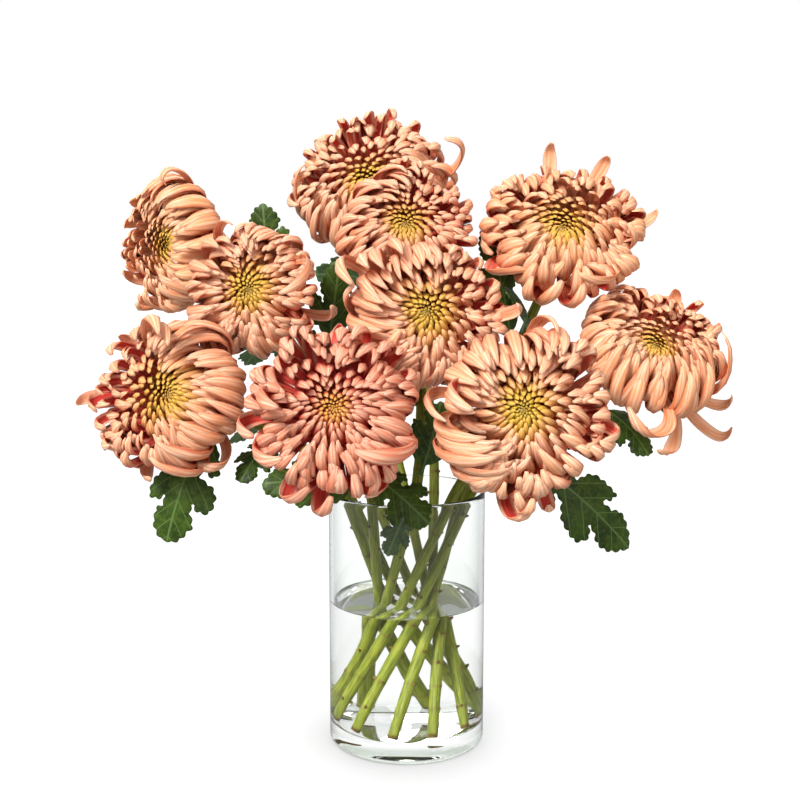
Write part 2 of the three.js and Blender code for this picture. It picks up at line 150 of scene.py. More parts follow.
# How a petal's measures grow with its age, from the youngest in the heart to the outermost
AGES = [0, 0.12, 0.2, 0.35, 0.5, 0.65, 0.8, 1]
PETALS_BY_AGE = [0, 22, 40, 66, 98, 134, 174, 262]
GROWTH = dict(
    root=[0.4, 3.0, 5.2, 9, 12.2, 15, 17.5, 20],
    root_z=[0.5, 0.3, 0, -1.5, -3.8, -6, -8.6, -12],
    width=[1.8, 3.2, 4.4, 5.6, 6.7, 7.9, 9.2, 10.8],
    thickness=[0.6, 0.6, 0.65, 0.75, 0.8, 0.85, 0.9, 1.0],
    tip=[0.6, 0.62, 0.64, 0.66, 0.68, 0.68, 0.66, 0.64],
    turned_by=[0.68, 0.68, 0.68, 0.70, 0.73, 0.76, 0.8, 0.84],
)

# The angle at which a petal leaves the head's axis, how far it turns back and its length: at the
# first three ages, and then where the head is closed, combed over the heart, standing open and
# lying open
YOUNG = dict(start=[-10, 70, 90], turn=[30, 125, 145], length=[3, 7, 13])
CLOSED = dict(
    start=[100, 105, 110, 110, 110], turn=[155, 160, 165, 165, 165], length=[22, 35, 47, 59, 69])
COMBED = dict(
    start=[105, 110, 110, 110, 110], turn=[160, 170, 170, 175, 175], length=[23, 36, 50, 62, 76])
STANDING = dict(
    start=[75, 80, 80, 80, 90], turn=[155, 150, 150, 155, 165], length=[21, 32, 41, 50, 56])
LYING = dict(
    start=[75, 80, 85, 85, 95], turn=[160, 160, 160, 170, 180], length=[22, 33, 44, 52, 58])

# What opening adds to some measures, how far each measure varies from petal to petal, and how much
# further it strays on a wild petal
OPENING = dict(hook=0.48, tip=0.3, cup=10, red=0.42)
VARIES = dict(
    root=3, angle=4, claw=2, turned_by=0.06, hook=0.1, hood=12, start=5, turn=12, length=0.1,
    width=0.12, drift=12, lift=2, twist=28, cup=12, groove=0.025, red=0.12, orange=0.15,
)
WILD = dict(turn=28, drift=24, twist=60)
COMB_LEAN = 40

# The ages at which a head's florets end and its petals become large, and the rings of points that
# each size of petal gets
HEART_AGE = 0.2
LARGE_AGE = 0.5
RINGS = dict(bract=5, floret=6, small=8, large=12, stray=22)


def on_circle(radius, angle, z):
    turn = math.radians(angle)
    return np.array([radius * math.cos(turn), radius * math.sin(turn), z])


def look_out(around, up):
    return on_circle(math.cos(math.radians(up)), around, math.sin(math.radians(up)))


def unit(v):
    return v / np.linalg.norm(v, axis=-1, keepdims=True)


def smooth(x, low, high):
    t = np.clip((x - low) / (high - low), 0, 1)
    return t * t * (3 - 2 * t)


def running_length(line):
    steps = np.linalg.norm(np.diff(line, axis=0), axis=1)
    return np.concatenate([[0], np.cumsum(steps)])


def head_axes(flower):
    z = look_out(*flower["facing"])
    y = unit(np.array([0, 0, 1]) - z * z[2])
    return np.cross(y, z), y, z


def to_world(flower, part):
    """A part of a head, drawn round +Z at full radius, at its real place and size"""
    points, faces, attributes = part
    axes = np.array(head_axes(flower))
    scale = flower["radius"] / HEAD_RADIUS
    return np.asarray(flower["centre"]) + (points * scale) @ axes, faces, attributes


def add_object(name, data):
    thing = bpy.data.objects.new(name, data)
    bpy.context.scene.collection.objects.link(thing)
    return thing


def add_piece(name, node, materials, part):
    """A smooth piece for a node of the solids, from points, a list of face arrays and attributes"""
    points, faces, attributes = part
    mesh = bpy.data.meshes.new(name)
    mesh.vertices.add(len(points))
    mesh.vertices.foreach_set("co", (points * MM).astype(np.float32).ravel())
    loops = np.concatenate([f.ravel() for f in faces]).astype(np.int32)
    sizes = np.concatenate([np.full(len(f), f.shape[1]) for f in faces])
    starts = np.concatenate([[0], np.cumsum(sizes)[:-1]]).astype(np.int32)
    mesh.loops.add(len(loops))
    mesh.loops.foreach_set("vertex_index", loops)
    mesh.polygons.add(len(sizes))
    mesh.polygons.foreach_set("loop_start", starts)
    for key, values in attributes.items():
        layer = mesh.attributes.new(key, "FLOAT_COLOR", "POINT")
        layer.data.foreach_set("color", values.astype(np.float32).ravel())
    mesh.shade_smooth()
    mesh.update()
    mesh.validate()
    for material in materials:
        mesh.materials.append(material)
    piece = add_object(name, mesh)
    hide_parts(node)
    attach(piece, "root")
    return piece


def join_parts(parts):
    """Several parts of points, faces and attributes as one"""
    starts = np.cumsum([0] + [len(points) for points, _, _ in parts])
    faces = [f + start for start, part in zip(starts, parts) for f in part[1]]
    attributes = {key: np.concatenate([part[2][key] for part in parts]) for key in parts[0][2]}
    return np.concatenate([part[0] for part in parts]), faces, attributes


# Solids through rings of points

def close_rings(rings):
    """Points and faces of a closed solid through rings, with a middle point at each end"""
    count, sides = rings.shape[:2]
    ends = np.stack([rings[0].mean(axis=0), rings[-1].mean(axis=0)])
    index = np.arange(count * sides).reshape(count, sides)
    right = np.roll(index, -1, axis=1)
    quads = np.stack([index[:-1], right[:-1], right[1:], index[1:]], axis=-1).reshape(-1, 4)
    low = count * sides
    high = low + 1
    fans = np.concatenate([
        np.stack([right[0], index[0], np.full(sides, low)], axis=-1),
        np.stack([index[-1], right[-1], np.full(sides, high)], axis=-1),
    ])
    return np.concatenate([rings.reshape(-1, 3), ends]), [quads, fans]


def lathe(profile, sides):
    """A closed solid of revolution, from a profile that starts and ends on the axis"""
    profile = np.asarray(profile, float)
    turns = np.arange(sides) * 2 * math.pi / sides
    r, z = profile[1:-1].T
    around = [np.outer(r, np.cos(turns)), np.outer(r, np.sin(turns)), np.outer(z, np.ones(sides))]
    points, faces = close_rings(np.stack(around, axis=-1))
    points[-2:] = [(0, 0, profile[0, 1]), (0, 0, profile[-1, 1])]
    return points, faces


def tube(centres, directions, radii, sides, ribs=0.0):
    """A closed tube along centres, with a ribbed section"""
    directions = np.broadcast_to(directions, centres.shape)
    first = unit(np.array([1, 0, 0]) - directions * directions[:, :1])
    second = np.cross(directions, first)
    turns = np.arange(sides) * 2 * math.pi / sides
    section = 1 + ribs * np.cos(turns * sides / 2)
    spokes = first[:, None] * np.cos(turns)[:, None] + second[:, None] * np.sin(turns)[:, None]
    return close_rings(centres[:, None] + spokes * (radii[:, None] * section)[..., None])


# Petals: each is a closed blade with a back and a face along a curved centre line

ACROSS_BACK = np.array([-1, -0.8, -0.42, 0, 0.42, 0.8, 1])
ACROSS_FACE = np.array([0.92, 0.4, -0.4, -0.92])
GROOVES_AT = 0.42
FINE_STEPS = 48
TURN_FROM = 0.12
LONGEST_CLAW_FROM = 0.3
HOOD_FROM = 0.84
LEAST_RADIUS = 0.3
BROADEST = 0.6
RING_CROWDING = 1.15
ROUND_TIP = 0.75
NOTCH = dict(depth=0.3, width=0.22)
TIP_CLOSES = dict(start=0.82, by=0.42)
WAVY_EDGE = 0.06


def petal_curves(p):
    """Centre line and axes of many petals at once, on a fine grid along each"""
    p = {key: values[:, None] for key, values in p.items()}
    s = np.linspace(0, 1, FINE_STEPS + 1)
    early = smooth(s, TURN_FROM, p["turned_by"])
    late = smooth(s, np.maximum(1 - p["claw"] / p["length"], LONGEST_CLAW_FROM), 1)
    turned = p["turn"] * ((1 - p["hook"]) * early + p["hook"] * late)
    turned = turned + p["hood"] * smooth(s, HOOD_FROM, 1)
    heading = np.radians(p["start"] - turned)
    step = p["length"] / FINE_STEPS
    out, up = np.sin(heading), np.cos(heading)
    r = p["root"] + np.cumsum(out * step, axis=1) - out[:, :1] * step
    z = p["root_z"] + np.cumsum(up * step, axis=1) - up[:, :1] * step
    r = np.maximum(r, LEAST_RADIUS)
    z = z + p["lift"] * s
    phi = np.radians(p["angle"] + p["drift"] * s ** 2)
    centre = np.stack([r * np.cos(phi), r * np.sin(phi), z], axis=-1)
    around = np.stack([-np.sin(phi), np.cos(phi), np.zeros_like(phi)], axis=-1)
    along = unit(np.gradient(centre, axis=1))
    across = unit(around - along * np.sum(around * along, axis=-1, keepdims=True))
    inward = np.cross(along, across)
    twist = np.radians(p["twist"] * s ** 1.5)[..., None]
    twisted = across * np.cos(twist) + inward * np.sin(twist)
    inward = inward * np.cos(twist) - across * np.sin(twist)
    return centre, twisted, inward


def sample(grid, s):
    """Values of a fine grid (petal, step, 3) at places s (petal, ring, across)"""
    place = np.clip(s, 0, 1) * FINE_STEPS
    low = np.minimum(place.astype(int), FINE_STEPS - 1)
    share = (place - low)[..., None]
    row = np.arange(len(grid))[:, None, None]
    return grid[row, low] * (1 - share) + grid[row, low + 1] * share


def petal_half_width(s, tip):
    rise = 0.42 + 0.58 * smooth(s, 0, BROADEST)
    return rise * (1 - (1 - tip) * smooth(s, 0.72, 1.05))


def petal_section(p, u, v, is_face):
    """Where a petal's points lie along, across and above its centre line, from each ring's place u
    and each point's place v across it"""
    half = p["width"] / 2
    notch = p["notch"] * np.exp(-(v / NOTCH["width"]) ** 2)
    s = u * (1 - half / p["length"] * (ROUND_TIP * np.abs(v) ** 2.4 + NOTCH["depth"] * notch))
    width = half * petal_half_width(s, p["tip"])
    width = width * (1 + WAVY_EDGE * np.sin(9 * s + 40 * p["tone"]))
    closing = np.clip((u - TIP_CLOSES["start"]) / (1 - TIP_CLOSES["start"]), 0, 1)
    width = width * (1 - TIP_CLOSES["by"] * closing ** 2)
    thickness = p["thickness"] * (1 - 0.65 * np.abs(v) ** 3) * (1 - 0.6 * smooth(u, 0.85, 1))
    groove = p["groove"] * width * (np.abs(np.abs(v) - GROOVES_AT) < 0.1)
    groove = groove * smooth(u, 0.1, 0.3) * (1 - smooth(u, 0.9, 1))
    lift = np.where(is_face > 0, thickness / 2, -thickness / 2 + groove)
    cup = np.radians(p["cup"])
    bend = v * cup
    x = np.sin(bend) / cup * width - np.sin(bend) * lift
    y = (1 - np.cos(bend)) / cup * width + np.cos(bend) * lift
    return s, x, y


def petal_meshes(p, rings):
    """Points, faces and attributes of many closed petals with the same number of rings"""
    centre, across, inward = petal_curves(p)
    p = {key: values[:, None, None] for key, values in p.items()}
    v = np.concatenate([ACROSS_BACK, ACROSS_FACE])
    is_face = np.repeat([0.0, 1.0], [len(ACROSS_BACK), len(ACROSS_FACE)])
    u = 1 - (1 - np.linspace(0, 1, rings)[:, None]) ** RING_CROWDING
    s, x, y = petal_section(p, u, v, is_face)
    points = sample(centre, s) + sample(across, s) * x[..., None] + sample(inward, s) * y[..., None]
    index = np.arange(s.size).reshape(s.shape)
    right = np.roll(index, -1, axis=2)
    quads = np.stack([index[:, :-1], index[:, 1:], right[:, 1:], right[:, :-1]], axis=-1)
    caps = np.concatenate([index[:, -1, ::-1], index[:, 0, :]])

    def spread(*values):
        return np.stack([np.broadcast_to(value, s.shape) for value in values], axis=-1).reshape(-1, 4)

    attributes = dict(
        petal=spread(v * 0.5 + 0.5, s, is_face, p["blush"]),
        tint=spread(p["age"], p["tone"], p["red"], p["orange"]),
    )
    return points.reshape(-1, 3), [quads.reshape(-1, 4), caps], attributes


def pick(p, mask):
    return {key: values[mask] for key, values in p.items()}


def few_petals(count, **given):
    """The measures of a few petals, plain where none is given. One value holds for all of them"""
    plain = dict.fromkeys(
        ["hook", "hood", "drift", "lift", "twist", "groove", "notch", "red", "blush", "orange"], 0)
    measures = {**plain, "age": 1, "turned_by": 0.95, **given}
    return {key: np.broadcast_to(np.asarray(value, float), count) for key, value in measures.items()}


# Heads

CORE_SIDES = 24
CORE_PROFILE = [(0, -17), (12, -17), (24, -9), (19, -3), (11, 0.6), (4, 2.4), (0, 2.8)]


def bump(angle, middle, half):
    """1 at the middle of a side of the head, falling to 0 past its half width"""
    away = np.abs((angle - middle + 180) % 360 - 180)
    return 1 - smooth(away, half * 0.6, half * 1.25)


def head_petals(flower, rng):
    """The measures of every petal in a head, from the heart outwards"""
    count = PETALS_BY_AGE[-1]
    n = np.arange(count)
    age = np.interp(n + 0.5, PETALS_BY_AGE, AGES)
    angle = (n * GOLDEN_ANGLE) % 360

    def vary(key, spread=VARIES):
        return rng.uniform(-spread[key], spread[key], count)

    def wave(folds):
        return np.sin(np.radians(angle * folds) + age * 3 + rng.uniform(0, 7))

    grown = smooth(age, 0.3, 0.8)
    outer = smooth(age, 0.6, 1)
    wild = (rng.uniform(0, 1, count) < flower["loose"]) * smooth(age, 0.6, 0.8)
    combed = bump(angle, *flower["comb"])
    opened = bump(angle, *flower["open"]) * smooth(age, flower["opens"] - 0.12, flower["opens"] + 0.13)
    sideways = np.sin(np.radians(angle - flower["comb"][0]))
    p = {key: np.interp(age, AGES, values) for key, values in GROWTH.items()}
    for key, young in YOUNG.items():
        closed, comb, standing, lying = (
            np.interp(age, AGES, young + side[key]) for side in (CLOSED, COMBED, STANDING, LYING))
        risen = lying + (standing - lying) * flower["stand"]
        p[key] = closed + (comb - closed) * combed * (1 - opened) + (risen - closed) * opened
    p["age"] = np.clip(age / flower["gold"], 0, 1)
    p["place"] = age
    p["angle"] = angle + vary("root") + vary("angle") * grown
    p["claw"] = 14 + (flower["claw"] - 14) * opened + vary("claw") * grown
    p["turned_by"] += vary("turned_by")
    hook = 0.15 + OPENING["hook"] * opened - 0.05 * combed
    p["hook"] = np.clip(hook + vary("hook") * grown, 0, 1)
    p["hood"] = 24 + vary("hood")
    p["start"] += vary("start") * grown
    turned = (vary("turn") + 6 * wave(4)) * grown * (1 + 0.6 * opened)
    p["turn"] = p["turn"] + turned + (18 + vary("turn", WILD)) * wild
    p["length"] *= 1 + (vary("length") + 0.04 * wave(3)) * grown
    p["width"] = p["width"] * flower["broad"] * (1 + vary("width"))
    p["tip"] = p["tip"] + OPENING["tip"] * opened - 0.1 * combed * outer
    lean = COMB_LEAN * combed * (sideways + 0.4 * flower["swirl"])
    drift = (vary("drift") + 6 * wave(2) + 6 * wave(5) + lean) * grown * (1 - 0.35 * opened)
    sagging = 16 * np.cos(np.radians(angle)) * opened * outer
    p["drift"] = drift + vary("drift", WILD) * wild - sagging
    p["lift"] = vary("lift") * grown
    p["twist"] = vary("twist") * grown * (1 + opened) + vary("twist", WILD) * wild
    p["cup"] = 66 + OPENING["cup"] * opened + vary("cup")
    p["groove"] = 0.07 + vary("groove")
    p["notch"] = rng.uniform(0, 1, count)
    p["tone"] = rng.uniform(0, 1, count)
    p["red"] = np.clip(flower["red"] + OPENING["red"] * opened + vary("red"), 0, 1)
    p["blush"] = np.full(count, float(flower["red"]))
    p["orange"] = np.clip(flower["orange"] + vary("orange"), 0, 1)
    sparse = flower["sparse"] * np.maximum(opened, combed) * smooth(age, 0.6, 0.75)
    return pick(p, rng.uniform(0, 1, count) >= sparse)


def stray_petals(number, flower, rng):
    """The measures of the few long outer petals that leave the head"""
    rows = [(angle, start, *BENDS[bend], length, drift)
            for angle, start, bend, length, drift in STRAYS[number]]
    angle, start, turn, hook, claw, length, drift = np.array(rows, float).T
    count = len(rows)
    width, red = flower["stray"]
    scale = flower["radius"] / HEAD_RADIUS
    return few_petals(
        count, root=12, root_z=-14.8, start=start, turn=turn, length=length / scale,
        width=width / scale, thickness=1.1, angle=angle, hook=hook, hood=45, claw=claw / scale,
        drift=drift, twist=rng.uniform(-20, 20, count), cup=64, groove=0.07, notch=0.4, tip=0.8,
        tone=rng.uniform(0, 1, count), red=red, blush=flower["red"], orange=flower["orange"],
    )


def core_part():
    """The receptacle that the petals grow from, with the petals' attributes"""
    points, faces = lathe(CORE_PROFILE, CORE_SIDES)
    place = np.tile([0.5, 0.0, 0.0, 1.0], (len(points), 1))
    tint = np.tile([0.05, 0.5, 0.2, 0.0], (len(points), 1))
    return points, faces, dict(petal=place, tint=tint)


def make_head(number, flower, copper, golden):
    rng = np.random.default_rng(number)
    p = head_petals(flower, rng)
    young = p["place"] < HEART_AGE
    large = p["place"] >= LARGE_AGE
    parts = [
        core_part(),
        petal_meshes(pick(p, ~young & ~large), RINGS["small"]),
        petal_meshes(pick(p, large), RINGS["large"]),
    ]
    if number in STRAYS:
        parts.append(petal_meshes(stray_petals(number, flower, rng), RINGS["stray"]))
    petals = to_world(flower, join_parts(parts))
    add_piece(f"petals_{number:02d}", f"bloom_{number:02d}", [copper], petals)
    florets = to_world(flower, petal_meshes(pick(p, young), RINGS["floret"]))
    add_piece(f"florets_{number:02d}", f"heart_{number:02d}", [golden], florets)


# Stems: each point has a kind, from green skin over a brown scar to a pale cut face

STEM_SEED = 100
STEM_SIDES = 16
STUB_SIDES = 6
CALYX_SIDES = 24
STEM_RINGS = dict(straight=45, bend=60)
STEM_NODES = dict(count=18, nearest=14, furthest=24, first=-6)
KIND = dict(skin=0, node=0.3, stub=0.42, foot=0.8, cut=1)
STUB_SHARES = np.array([0, 0.5, 0.85, 1])
STUB_RADII = np.array([1.5, 1.1, 0.8, 0.4])
CALYX_SHARES = np.array([0, 0.35, 0.55, 0.75, 0.9, 1])
CALYX_RADII = [5.2, 8.2, 10.4, 11.3, 11.5]
BRACTS = dict(rows=2, across=15)


def stem_route(flower):
    """A stem's foot, the Bezier handles of its bend, the way its head faces and the head's scale"""
    _, _, facing = head_axes(flower)
    scale = flower["radius"] / HEAD_RADIUS
    foot = on_circle(STEM["foot_circle"], flower["foot"], VASE["base"] + CLEARANCE)
    rim = on_circle(*flower["rim"], STEM["straight_to"])
    rise = unit(rim - foot)
    seat = np.asarray(flower["centre"]) - facing * (HEAD_SEAT * scale + CLEARANCE)
    neck = seat - facing * CALYX_HEIGHT * scale
    reach = np.linalg.norm(neck - rim)
    handles = [rim, rim + rise * reach * STEM["leave"], neck - facing * reach * STEM["arrive"], neck]
    return foot, handles, facing, scale


def bezier(handles, t):
    t = np.asarray(t, float)[..., None]
    a, b, c, d = handles
    return a * (1 - t) ** 3 + b * 3 * t * (1 - t) ** 2 + c * 3 * t ** 2 * (1 - t) + d * t ** 3


def bezier_slope(handles, t):
    a, b, c, d = handles
    return unit(3 * (1 - t) ** 2 * (b - a) + 6 * t * (1 - t) * (c - b) + 3 * t ** 2 * (d - c))


def stem_line(foot, handles):
    """Centres, directions and running length of a stem, straight at first and then bent"""
    rim = handles[0]
    below = np.linspace(0, 1, STEM_RINGS["straight"] + 1)[:-1, None]
    bend = np.linspace(0, 1, STEM_RINGS["bend"])
    centres = np.concatenate([foot + (rim - foot) * below, bezier(handles, bend)])
    straight = np.repeat(unit(rim - foot)[None], len(below), axis=0)
    bent = np.array([bezier_slope(handles, t) for t in bend])
    return centres, np.concatenate([straight, bent]), running_length(centres)


def stem_part(shape, kind, around=0.0, along=0.0):
    """Points and faces of a stem's part, with their kind and their place round and along it"""
    points, faces = shape
    values = np.broadcast_arrays(kind, around, along, np.ones(len(points)))
    return points, faces, dict(stem=np.stack(values, axis=-1))


def skin_part(number, line, nodes):
    """The stem itself, thicker and browner at its nodes, with a pale cut foot"""
    centres, directions, length = line
    radii = STEM["skin"] * (1 + 0.03 * np.sin(length * 0.21 + number))
    kind = np.zeros(len(centres))
    for place in nodes:
        near = np.exp(-((length - place) / 1.6) ** 2)
        radii *= 1 + 0.05 * near
        kind = np.maximum(kind, KIND["node"] * near)
    colour = np.concatenate([np.repeat(kind, STEM_SIDES), [KIND["cut"], KIND["skin"]]])
    colour[:STEM_SIDES] = KIND["foot"]
    streak = np.concatenate([np.tile(np.arange(STEM_SIDES) / STEM_SIDES, len(centres)), [0, 0]])
    along = np.concatenate([np.repeat(length / 200, STEM_SIDES), [0, 0]])
    shape = tube(centres, directions, radii, STEM_SIDES, ribs=0.03)
    return stem_part(shape, colour, streak, along)


def stub_parts(line, nodes, rng):
    """Two stubs of cut side shoots at each node"""
    centres, directions, length = line
    parts = []
    for place in nodes:
        at, way = (np.array([np.interp(place, length, axis) for axis in values.T])
                   for values in (centres, directions))
        for out in unit(np.cross(way, unit(rng.normal(size=(2, 3))))):
            lean = unit(out * 0.9 + way * 0.5)
            body = at + out * STEM["skin"] * 0.6 + lean * STUB_SHARES[:, None] * rng.uniform(2.2, 3.6)
            parts.append(stem_part(tube(body, lean, STUB_RADII, STUB_SIDES), KIND["stub"]))
    return parts


def calyx_part(neck, facing, scale):
    reach = CALYX_SHARES * CALYX_HEIGHT * scale
    swell = np.array([STEM["skin"] / scale, *CALYX_RADII]) * scale
    shape = tube(neck + facing * reach[:, None], facing, swell, CALYX_SIDES)
    return stem_part(shape, KIND["skin"])


def bract_part(flower, rng):
    """Rows of short green bracts, pale along their edges, that close under the head"""
    count = BRACTS["rows"] * BRACTS["across"]
    row = np.repeat(np.arange(BRACTS["rows"]), BRACTS["across"])
    place = np.arange(count) % BRACTS["across"] + row / 3
    measures = few_petals(
        count, root=7.5 + 1.6 * row, root_z=-23.5 + 1.9 * row, start=48 + 9.0 * row, turn=8 - 4 * row,
        length=9.5 + 1.2 * row + rng.uniform(-0.6, 0.6, count), width=4.4, thickness=0.7,
        angle=place * 360 / BRACTS["across"], claw=5, cup=26, tip=0.3, tone=rng.uniform(0, 1, count),
    )
    points, faces, attributes = to_world(flower, petal_meshes(measures, RINGS["bract"]))
    across, along = attributes["petal"][:, :2].T
    kind = np.where(np.abs(across - 0.5) * 2 > 0.8, KIND["cut"], 0.1)
    return stem_part((points, faces), kind, across, along)


def make_stem(number, flower, material):
    rng = np.random.default_rng(STEM_SEED + number)
    foot, handles, facing, scale = stem_route(flower)
    line = stem_line(foot, handles)
    gaps = rng.uniform(STEM_NODES["nearest"], STEM_NODES["furthest"], STEM_NODES["count"])
    nodes = np.cumsum(gaps) + STEM_NODES["first"]
    straight = np.linalg.norm(handles[0] - foot)
    parts = [
        skin_part(number, line, nodes),
        *stub_parts(line, nodes[nodes < straight + 10], rng),
        calyx_part(handles[-1], facing, scale),
        bract_part(flower, rng),
    ]
    add_piece(f"stalk_{number:02d}", f"stem_{number:02d}", [material], join_parts(parts))


# Leaves: their measures are stored on their points in shares of 100 mm

LEAF_SEED = 200
LEAF_UNIT = 100
LEAF_MESH = 2.1
LEAF_SKIN = 0.22
TEETH = dict(width=0.30, height=0.085)
VEINS = dict(slope=1.15, spacing=0.135)


def rounded(points, steps):
    """A smooth line through points, as a Catmull-Rom curve"""
    points = np.asarray(points, float)
    padded = np.concatenate([[2 * points[0] - points[1]], points, [2 * points[-1] - points[-2]]])
    line = []
    for a, b, c, d in zip(padded, padded[1:], padded[2:], padded[3:]):
        for t in np.arange(steps) / steps:
            line.append(0.5 * (2 * b + (c - a) * t + (2 * a - 5 * b + 4 * c - d) * t ** 2
                               + (3 * b - a - 3 * c + d) * t ** 3))
    return np.array(line + [points[-1]])


def leaf_edge(length, half, rng):
    """One side of a leaf's outline, with small round teeth along its lobes"""
    petiole = [(0, LEAF["petiole_half"]), (LEAF["petiole"] * length * 0.8, LEAF["petiole_half"])]
    bends = np.array(LEAF_OUTLINE) * (length, half) * rng.uniform(0.97, 1.03, (len(LEAF_OUTLINE), 2))
    bends[-1] = (length, 0)
    line = rounded(np.concatenate([petiole, bends]), 8)
    share = line[:, 0] / length
    slope = np.gradient(line, axis=0)
    normal = unit(np.stack([-slope[:, 1], slope[:, 0]], axis=-1))
    teeth = np.abs(np.sin(running_length(line) * math.pi / (half * TEETH["width"])))
    blade = smooth(share, 0.2, 0.3) * (1 - smooth(share, 0.97, 1))
    grown = line + normal * ((teeth - 0.6) * half * TEETH["height"] * blade)[:, None]
    grown[:, 1] = np.maximum(grown[:, 1], LEAF["petiole_half"] * (1 - smooth(share, 0.98, 1)))
    return grown


def leaf_cut(length, half, rng):
    """A leaf's flat blade as points and triangles"""
    left = leaf_edge(length, half, rng)
    right = leaf_edge(length, half, rng)[::-1][1:] * (1, -1)
    outline = np.concatenate([left, right])
    rows = math.ceil(half / LEAF_MESH)
    xs = np.arange(LEAF_MESH, length, LEAF_MESH)
    ys = np.arange(-rows, rows + 1) * LEAF_MESH
    inner = np.array([(x + 0.5 * LEAF_MESH * (k % 2), y) for k, y in enumerate(ys) for x in xs])
    away = np.linalg.norm(inner[:, None] - outline[None], axis=-1).min(axis=1)
    inner = inner[away > LEAF_MESH * 0.45]
    points = [Vector(p) for p in np.concatenate([outline, inner])]
    polygon = [list(range(len(outline)))]
    verts, _, faces, *_ = delaunay_2d_cdt(points, [], polygon, 1, 1e-5)
    return np.array([tuple(v) for v in verts]), np.array([f for f in faces if len(f) == 3])


def leaf_frame(stem, along, tip, face):
    """A leaf's root, its length, and its axes along the rib, across it and up from its face"""
    _, handles, _, _ = stem_route(FLOWERS[stem - 1])
    on = bezier(handles, along)
    tangent = bezier_slope(handles, along)
    tip = np.asarray(tip, float)
    away = unit(tip - on - tangent * np.dot(tip - on, tangent))
    root = on + away * STEM["skin"] * 0.9
    length = np.linalg.norm(tip - root)
    chord = (tip - root) / length
    look = look_out(*face)
    up = unit(look - chord * np.dot(look, chord))
    return root, length, chord, np.cross(up, chord), up


def leaf_lift(number, x, out, length, half):
    """How high a leaf's middle sheet stands: its arch and fold, its quilting and its wavy edge"""
    share = x / length
    vein = (x - VEINS["slope"] * out) / (length * VEINS["spacing"])
    quilt = 0.5 - 0.5 * np.cos(2 * math.pi * vein)
    waves = np.sin(x * 0.33 + number) * (out / half) ** 2
    blade = smooth(share, LEAF["petiole"], 0.3)
    lift = 4 * share * (1 - share) * LEAF["arch"] * length - LEAF["fold"] * out
    lift += blade * smooth(out, 0.5, 3) * (0.55 * quilt + 0.9 * waves)
    return lift - 0.35 * np.exp(-(out / 0.7) ** 2) * blade


def leaf_depth(share, out):
    """How far a leaf reaches under its middle sheet: a round petiole, then a blade with its rib"""
    rib = 0.25 + (0.85 - 0.45 * share) * np.exp(-(out / 0.9) ** 2)
    petiole = 0.9 * np.sqrt(np.maximum(1 - (out / 1.45) ** 2, 0.02))
    return np.where(share < LEAF["petiole"], petiole, rib)


def leaf_shell(top, under, triangles):
    """Points and faces of a closed leaf: its two sides and the walls along its edge"""
    count = len(top)
    directed = np.concatenate([triangles[:, [0, 1]], triangles[:, [1, 2]], triangles[:, [2, 0]]])
    edges = np.sort(directed, axis=1)
    _, inverse, uses = np.unique(edges, axis=0, return_inverse=True, return_counts=True)
    rim = directed[uses[inverse.ravel()] == 1]
    walls = np.stack([rim[:, 0], rim[:, 0] + count, rim[:, 1] + count, rim[:, 1]], axis=-1)
    return np.concatenate([top, under]), [triangles, triangles[:, ::-1] + count, walls]


def make_leaf(number, material, stem, along, tip, face, half):
    rng = np.random.default_rng(LEAF_SEED + number)
    root, length, chord, side, up = leaf_frame(stem, along, tip, face)
    flat, triangles = leaf_cut(length, half, rng)
    x, y = flat.T
    out = np.abs(y)
    share = x / length
    lift = leaf_lift(number, x, out, length, half)
    depth = leaf_depth(share, out)
    skin = np.where(share < LEAF["petiole"], depth, LEAF_SKIN)
    middle = root + np.outer(x, chord) + np.outer(y, side) + np.outer(lift, up)
    top = middle + np.outer(skin, up)
    under = middle - np.outer(depth, up)
    points, faces = leaf_shell(top, under, triangles)
    upper = np.stack([x, out, np.full(len(x), length), np.zeros(len(x))], axis=-1) / LEAF_UNIT
    part = points, faces, dict(leaf=np.concatenate([upper, upper + (0, 0, 0, 1)]))
    add_piece(f"foliage_{number:02d}", f"leaf_{number:02d}", [material], part)


# Vase and water

ROUND_SIDES = 128
FOOT_ROUND = 3.2
INNER_ROUND = 3.0
WATER_GAP = 0.05


def arc(centre, radius, first, last, steps):
    """Points of an arc in a profile, from one angle to another in degrees"""
    turns = np.radians(np.linspace(first, last, steps))
    return [(centre[0] + radius * math.cos(t), centre[1] + radius * math.sin(t)) for t in turns]


def add_turned(name, node, materials, profile, bands, indices):
    """A turned piece, with a material for each band of its profile's rings"""
    solid = *lathe(profile, ROUND_SIDES), {}
    piece = add_piece(name, node, materials, solid)
    for polygon in piece.data.polygons:
        ring = min(v // ROUND_SIDES for v in polygon.vertices)
        polygon.material_index = indices[np.searchsorted(bands, ring, side="right")]


def make_vase(clear):
    radius, height, base = VASE["radius"], VASE["height"], VASE["base"]
    inner = radius - VASE["wall"]
    lip = VASE["wall"] / 2
    profile = [(0, 0.6), (radius * 0.7, 0.5), (radius - FOOT_ROUND - 2, 0)]
    profile += arc((radius - FOOT_ROUND, FOOT_ROUND), FOOT_ROUND, -90, 0, 7)
    wall = len(profile) - 1
    profile += [(radius, z) for z in np.linspace(FOOT_ROUND + 4, height - lip - 3, 12)]
    profile += arc((radius - lip, height - lip), lip, 0, 180, 9)
    profile += [(inner, z) for z in np.linspace(height - lip - 3, WATER_LEVEL + 1.4, 8)]
    wet = len(profile) - 2
    profile += [(inner, z) for z in np.linspace(WATER_LEVEL - 6, base + INNER_ROUND + 2, 8)]
    profile += arc((inner - INNER_ROUND, base + INNER_ROUND), INNER_ROUND, 0, -90, 6)
    profile += [(inner * 0.5, base - 0.2), (0, base - 0.3)]
    materials = [clear["clear_glass"], clear["wet_glass"], clear["thick_glass"]]
    bands = [wall, wet]
    add_turned("glass_cylinder", "vase", materials, profile, bands, [2, 0, 1])


